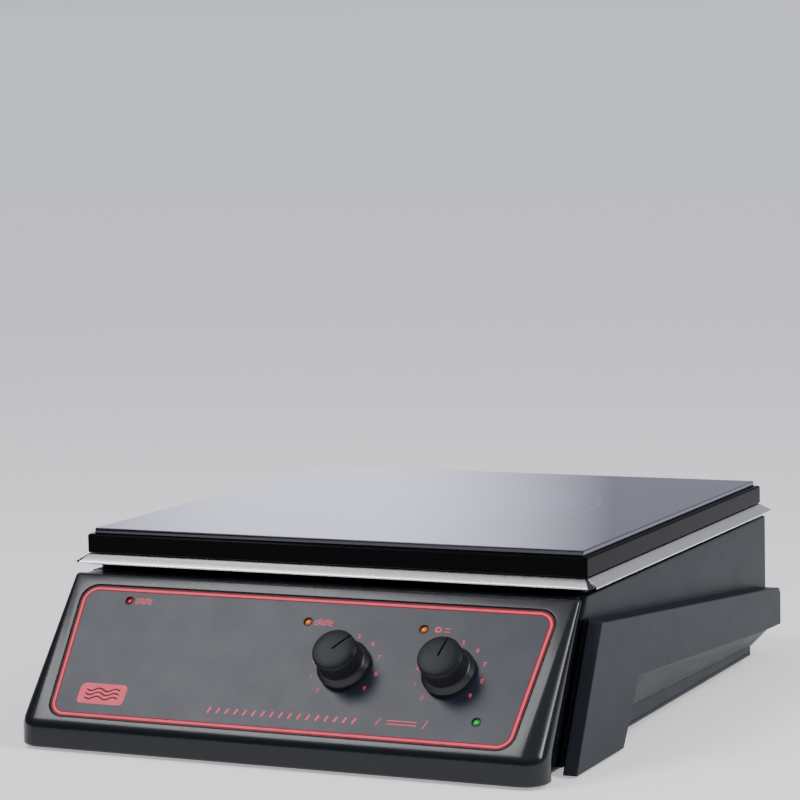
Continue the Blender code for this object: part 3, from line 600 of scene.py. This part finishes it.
def scale_numbers(tag, across, down):
    """Numbers 0 to 9 printed in a ring, upright, as one piece."""
    numbers = []
    for count in range(10):
        angle = math.radians(NUMBER_START + NUMBER_STEP * count)
        font = bpy.data.curves.new("digit", "FONT")
        font.body = str(count)
        font.size = NUMBER_SIZE
        font.align_x = "CENTER"
        font.align_y = "CENTER"
        font.extrude = 0.035
        font.offset = 0.05
        digit = bpy.data.objects.new("digit", font)
        bpy.context.scene.collection.objects.link(digit)
        bpy.context.view_layer.update()
        mesh = bpy.data.meshes.new_from_object(digit.evaluated_get(bpy.context.evaluated_depsgraph_get()))
        spot = (across + NUMBER_RADIUS * math.sin(angle), -down + NUMBER_RADIUS * math.cos(angle),
                PANEL_FACE + INK_ROOT)
        mesh.transform(Matrix.Scale(MM, 4) @ TO_FASCIA @ Matrix.Translation(spot))
        bpy.data.objects.remove(digit, do_unlink=True)
        numbers.append(mesh)
    joined = bmesh.new()
    for mesh in numbers:
        joined.from_mesh(mesh)
    scale_mesh = bpy.data.meshes.new(tag + "_scale_numbers")
    joined.to_mesh(scale_mesh)
    joined.free()
    scale_mesh.materials.clear()
    scale_mesh.materials.append(PINK)
    numerals = bpy.data.objects.new(tag + "_scale_numbers", scale_mesh)
    bpy.context.scene.collection.objects.link(numerals)
    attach(numerals, BODY)


def dial(tag, across, down, pointer):
    """Knob, its cap, and the printed scale round it."""
    place = TO_FASCIA @ Matrix.Translation((across, -down, 0.0))
    knob = lathe(tag + "_dial_knob", knob_profile(), FINISH["knob_black"], tag + "_dial", place)
    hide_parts(tag + "_knob")
    pointer_cap(tag, place, pointer)
    scale_numbers(tag, across, down)


for dial_tag, (dial_across, dial_down, dial_pointer) in DIALS.items():
    dial(dial_tag, dial_across, dial_down, dial_pointer)


# ---------------------------------------------------------------- lamps
for lamp_tag, (lamp_across, lamp_down) in LAMPS.items():
    lamp_slot = {"hot": "lamp_red", "power": "lamp_green"}.get(lamp_tag, "lamp_amber")
    lamp_place = TO_FASCIA @ Matrix.Translation((lamp_across, -lamp_down, 0.0))
    dome = [(0.0, -5.0), (LENS_RADIUS, -5.0), (LENS_RADIUS, -1.6)] + arc((0.0, -4.1), 3.3, 49.5, 90.0, 8)
    dome[-1] = (0.0, -0.8)
    lens_piece = lathe(lamp_tag + "_lens", dome, FINISH[lamp_slot], BODY, lamp_place, 48)
    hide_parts(lamp_tag + "_lamp")
    ring = [(LENS_RADIUS + 0.1, PANEL_FACE - 0.3), (RING_EDGE, PANEL_FACE - INK_ROOT),
            (RING_EDGE, PANEL_FACE + 0.12), (LENS_RADIUS + 0.45, PANEL_FACE + 0.3),
            (LENS_RADIUS + 0.1, PANEL_FACE + 0.2)]
    lathe(lamp_tag + "_lamp_ring", ring, FINISH["knob_black"], BODY, lamp_place, 48)


# ---------------------------------------------------------------- printed marks, and a painted shadow line round the panel
# Black line all round the panel's border: painted shadow of the recess edge, drawn as a dark strip.
printed("border_painted_shadow_line", [border(-0.5)], 0.7, DARK, closed=True)
printed("border_outer_line", [border(0.35)], 0.8, DEEP, closed=True)
printed("border_middle_line", [border(1.45)], 1.4, PINK, closed=True)
printed("border_inner_line", [border(2.5)], 0.7, DEEP, closed=True)


def wave(x, s, length, swing, turns=2.5, steps=40):
    """Wavy line across the front."""
    return [(x + length * step / steps, s + swing * math.sin(math.tau * turns * step / steps))
            for step in range(steps + 1)]


def swirl(x, s, steps=38):
    """Slightly flattened spiral that opens out from its middle."""
    route = []
    for step in range(steps):
        radius = 1.1 + 0.028 * step
        angle = 0.3 * step
        route.append((x + radius * math.cos(angle), s + 0.8 * radius * math.sin(angle)))
    return route


for mark_tag, mark_start, mark_length in (("hot", -108.6, 10.5), ("heat", 5.4, 11.0)):
    mark_down = LAMPS[mark_tag][1]
    mark_waves = [wave(mark_start, mark_down + row, mark_length, MARK_SWING) for row in MARK_ROWS]
    printed(mark_tag + "_mark", mark_waves, MARK_LINE, PINK)
stir_down = LAMPS["stir"][1]
stir_dashes = [[(82.5, stir_down + side), (86.0, stir_down + side)] for side in (-1.0, 1.0)]
printed("stir_mark", [swirl(79.0, stir_down)] + stir_dashes, MARK_LINE, PINK)

badge_place = TO_FASCIA @ Matrix.Translation((BADGE_ACROSS, -BADGE_DOWN, 0.0))
slab("maker_badge", rounded_plate(14.6, 6.4, 3.0), PANEL_FACE - INK_ROOT, PANEL_FACE + INK, PINK,
     BODY, badge_place)
badge_waves = [wave(BADGE_ACROSS - BADGE_WAVE / 2, BADGE_DOWN + row, BADGE_WAVE, 0.9, 2.0)
               for row in (-2.6, 0.0, 2.6)]
printed("badge_waves", badge_waves, 0.8, DARK, level=PANEL_FACE + INK, thick=0.04)

foot_dashes = []
for dash in range(DASH_COUNT):
    dash_start = -41.0 + DASH_STEP * dash
    foot_dashes.append([(dash_start, MARK_FOOT), (dash_start + 1.4, DASH_TOP)])
printed("foot_dashes", foot_dashes, 1.3, PINK)
foot_bars = [[(x, MARK_FOOT), (x + 2.0, 77.6)] for x in (59.0, 86.0)]
foot_bars += [[(65.0, down), (82.0, down)] for down in (79.2, 81.2)]
printed("foot_bars", foot_bars, 0.6, PINK)


# ---------------------------------------------------------------- drip skirt
def drip_skirt():
    """Sheet skirt with a rolled hem; its four bands stop short at the corners."""
    fold = FRAME_HALF - 0.8
    sheet = [(SHEET_INNER, FLANGE_TOP), (fold, FLANGE_TOP)]
    sheet += arc((fold, FLANGE_TOP - SHEET), SHEET, 88.0, 56.0, 4)
    hem = arc((FLANGE_TIP - HEM_RADIUS, FLANGE_TIP_Z + 0.1), HEM_RADIUS, 50.0, -150.0, 10)
    section = sheet + hem + [(fold - 0.2, FLANGE_TOP - SHEET - 0.05), (SHEET_INNER, FLANGE_TOP - SHEET)]
    points = []
    faces = []
    count = len(section)
    for index in range(4):
        turn = Matrix.Rotation(math.radians(90.0) * index, 3, "Z")
        first = len(points)
        for side in (-1.0, 1.0):
            for out, height in section:
                if out < fold:
                    reach = out - CORNER_GAP
                else:
                    reach = FRAME_HALF - SHEET + 0.6 * max(0.0, out - FRAME_HALF)
                points.append(turn @ Vector((side * reach, -out, height)) + Vector((0.0, PLATE_Y, 0.0)))
        for step in range(count):
            after = (step + 1) % count
            faces.append((first + step, first + after, first + count + after, first + count + step))
        faces.append(tuple(first + step for step in range(count)))
        faces.append(tuple(first + count + step for step in range(count)))
    skirt = piece("drip_skirt", points, faces, FINISH["steel"], BODY, angle=40.0)
    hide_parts("drip_flange")


drip_skirt()


# ---------------------------------------------------------------- back details
def on_back(x, z):
    """Place on the back wall; local Z points out of the wall."""
    return Matrix.Translation((x, BACK_Y, z)) @ Matrix.Rotation(math.radians(-90.0), 4, "X")


slab("rating_plate", rounded_plate(24.0, 11.0, 1.5), 0.0, 0.35, FINISH["zinc"], BODY,
     on_back(15.0, 55.0))
screw_head = [(0.0, 0.0), (3.3, 0.0)] + arc((1.2, 0.0), 2.1, 0.0, 78.0, 6)
screw_head += [(1.3, 1.9), (1.0, 1.1), (0.0, 1.0)]
screw_spots = [(x, z) for z in SCREW_HEIGHTS for x in (-SCREW_ACROSS, SCREW_ACROSS)]
for number, screw_spot in enumerate(screw_spots, 1):
    lathe("back_screw_%d" % number, screw_head, FINISH["steel"], BODY, on_back(*screw_spot), 32)


# ---------------------------------------------------------------- floor, light, camera
def stage_floor():
    """Pale floor that glows a little, so that it stays light out to the horizon."""
    mesh = bpy.data.meshes.new("floor")
    corners = [(FLOOR_HALF * x, FLOOR_HALF * y, 0.0) for x, y in ((-1, -1), (1, -1), (1, 1), (-1, 1))]
    mesh.from_pydata(corners, [], [(0, 1, 2, 3)])
    made = bpy.data.objects.new("floor", mesh)
    bpy.context.scene.collection.objects.link(made)
    look = Look("floor_pale", (0.9, 0.9, 0.9), 0.9,
                Emission_Color=(1.0, 1.0, 1.0, 1.0), Emission_Strength=0.45)
    look.blend_colour(look.spread(look.noise(3.0), 0.0, 0.2), (0.88, 0.88, 0.88))
    mesh.materials.append(look.done())


def softbox(name, place, aim, size, power):
    """White area light turned to a point; metres and watts."""
    data = bpy.data.lights.new(name, "AREA")
    data.shape = "RECTANGLE"
    data.size, data.size_y = size
    data.energy = power
    made = bpy.data.objects.new(name, data)
    made.location = place
    made.rotation_euler = (Vector(aim) - Vector(place)).to_track_quat("-Z", "Y").to_euler()
    bpy.context.scene.collection.objects.link(made)


def studio():
    """Pale back wall with a bright window in it, soft ceiling, dark room in front."""
    world = bpy.data.worlds.new("studio")
    bpy.context.scene.world = world
    world.use_nodes = True
    tree = world.node_tree
    split = tree.nodes.new("ShaderNodeSeparateXYZ")
    tree.links.new(tree.nodes.new("ShaderNodeTexCoord").outputs["Generated"], split.inputs[0])
    across, along, upward = split.outputs

    def ramp(value, start, end, low, high):
        return range_node(tree, value, start, end, low, high, "SMOOTHSTEP")

    def times(one, two):
        return math_node(tree, "MULTIPLY", one, two)

    wall = times(ramp(along, 0.0, 0.8, 0.1, HORIZON), ramp(upward, 0.03, 0.075, 1.0, 0.5))
    ceiling = ramp(upward, 0.3, 1.0, 0.0, 0.7)
    # The window fades out at its two sides, its foot and its head, and away from the back wall
    off_centre = math_node(tree, "ABSOLUTE", math_node(tree, "ADD", across, WINDOW_TURN))
    window = ramp(off_centre, 0.015, 0.13, WINDOW_LIGHT, 0.0)
    window = times(window, ramp(upward, 0.045, 0.08, 0.0, 1.0))
    window = times(window, ramp(upward, 0.25, 0.45, 1.0, 0.0))
    window = times(window, ramp(along, 0.4, 0.7, 0.0, 1.0))
    light = math_node(tree, "MAXIMUM", math_node(tree, "MAXIMUM", wall, ceiling), window)
    sky = tree.nodes["Background"]
    sky.inputs["Color"].default_value = (0.85, 0.865, 1.0, 1.0)
    tree.links.new(light, sky.inputs["Strength"])
    softbox("key", (-0.9, -0.9, 1.7), (0.0, -0.05, 0.05), (0.9, 0.7), 20.0)
    softbox("side_strip", (1.35, -0.14, 1.0), (0.15, -0.17, 0.05), (0.22, 1.1), 16.0)


def camera():
    """The photo's camera, from its place, its turn, its tilt down and its roll."""
    ahead = math.cos(CAMERA_DOWN)
    forward = Vector((math.sin(CAMERA_YAW) * ahead, math.cos(CAMERA_YAW) * ahead, -math.sin(CAMERA_DOWN)))
    level = Vector((math.cos(CAMERA_YAW), -math.sin(CAMERA_YAW), 0.0))
    up = level.cross(forward)
    right = math.cos(CAMERA_ROLL) * level + math.sin(CAMERA_ROLL) * up
    top = -math.sin(CAMERA_ROLL) * level + math.cos(CAMERA_ROLL) * up
    data = bpy.data.cameras.new("camera")
    data.lens = CAMERA_LENS
    data.sensor_width = 36.0
    data.clip_end = 60.0
    made = bpy.data.objects.new("camera", data)
    turned = Matrix((right, top, -forward)).transposed().to_4x4()
    made.matrix_world = Matrix.Translation(CAMERA_PLACE * MM) @ turned
    bpy.context.scene.collection.objects.link(made)
    bpy.context.scene.camera = made


stage_floor()
studio()
camera()
